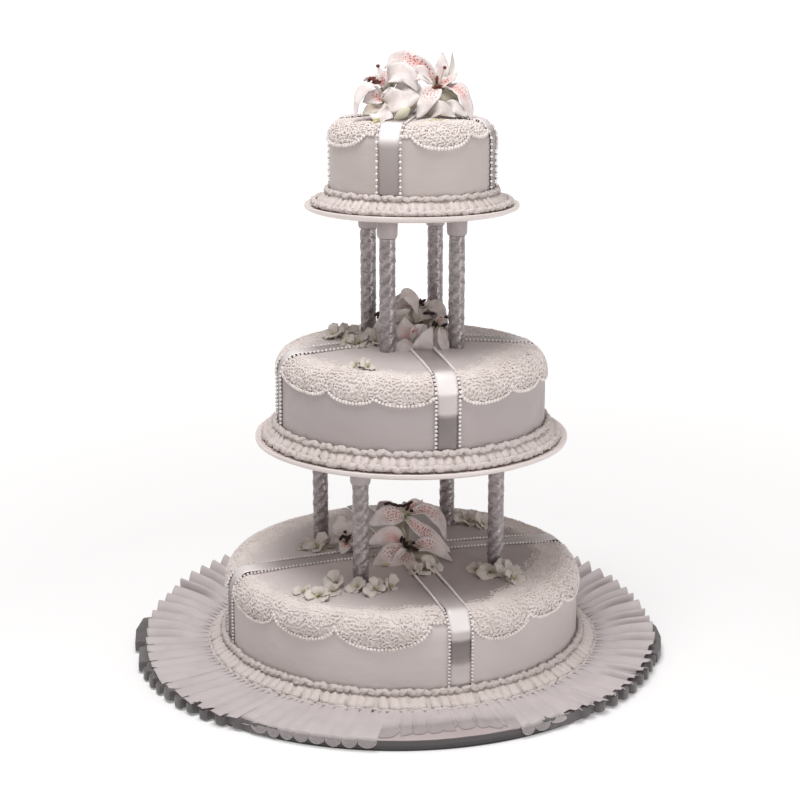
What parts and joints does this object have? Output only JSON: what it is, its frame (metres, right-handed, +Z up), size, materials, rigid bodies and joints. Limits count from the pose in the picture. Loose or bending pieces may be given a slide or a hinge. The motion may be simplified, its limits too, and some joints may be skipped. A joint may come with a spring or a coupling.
{
  "type": "tiered wedding cake",
  "caption": "Round iced wedding cake in tiers held apart by twisted pillars, with lace piping, crossed satin ribbons, sugar lilies and a pleated frill round its board.",
  "frame": {"origin": "middle of the underside of the board, on the table", "axes": "+Z up, +X to the right and -Y to the front, where the darker strip under the frill is open"},
  "size_m": [0.566, 0.54, 0.6428],
  "materials": {
    "icing": null,
    "piping": null,
    "satin": "white satin ribbon with silvery beads along both edges",
    "pillar": "silvery grey twisted plastic column, glossy",
    "plate": "white plastic, smooth",
    "board": "thick board under white paper, with a grey edge band",
    "frill": "sheer white organza, crystal pleated",
    "skirt": "dark grey sheer pleated strip",
    "lily": null,
    "blossom": null
  },
  "bodies": {
    "root": {"board": "board", "frill_lower": "skirt", "frill_upper": "frill", "plate_middle": "plate", "plate_top": "plate", "pillar_lower_1": "pillar", "pillar_lower_2": "pillar", "pillar_lower_3": "pillar", "pillar_lower_4": "pillar", "pillar_upper_1": "pillar", "pillar_upper_2": "pillar", "pillar_upper_3": "pillar", "pillar_upper_4": "pillar", "cake_bottom": "icing", "cake_middle": "icing", "cake_top": "icing", "border_bottom": "piping", "border_middle": "piping", "border_top": "piping", "ribbon_bottom_1": "satin", "ribbon_bottom_2": "satin", "ribbon_middle_1": "satin", "ribbon_middle_2": "satin", "ribbon_top_1": "satin", "ribbon_top_2": "satin", "lace_bottom_1": "piping", "lace_bottom_2": "piping", "lace_bottom_3": "piping", "lace_bottom_4": "piping", "lace_middle_1": "piping", "lace_middle_2": "piping", "lace_middle_3": "piping", "lace_middle_4": "piping", "lace_top_1": "piping", "lace_top_2": "piping", "lace_top_3": "piping", "lace_top_4": "piping", "lily_bottom_1": "lily", "lily_bottom_2": "lily", "lily_bottom_3": "lily", "lily_middle_1": "lily", "lily_middle_2": "lily", "lily_middle_3": "lily", "lily_top_1": "lily", "lily_top_2": "lily", "lily_top_3": "lily", "blossom_bottom_1": "blossom", "blossom_bottom_2": "blossom", "blossom_bottom_3": "blossom", "blossom_bottom_4": "blossom", "blossom_bottom_5": "blossom", "blossom_bottom_6": "blossom", "blossom_middle_1": "blossom", "blossom_middle_2": "blossom", "blossom_middle_3": "blossom", "blossom_middle_4": "blossom", "bud_top": "blossom"}
  },
  "joints": []
}
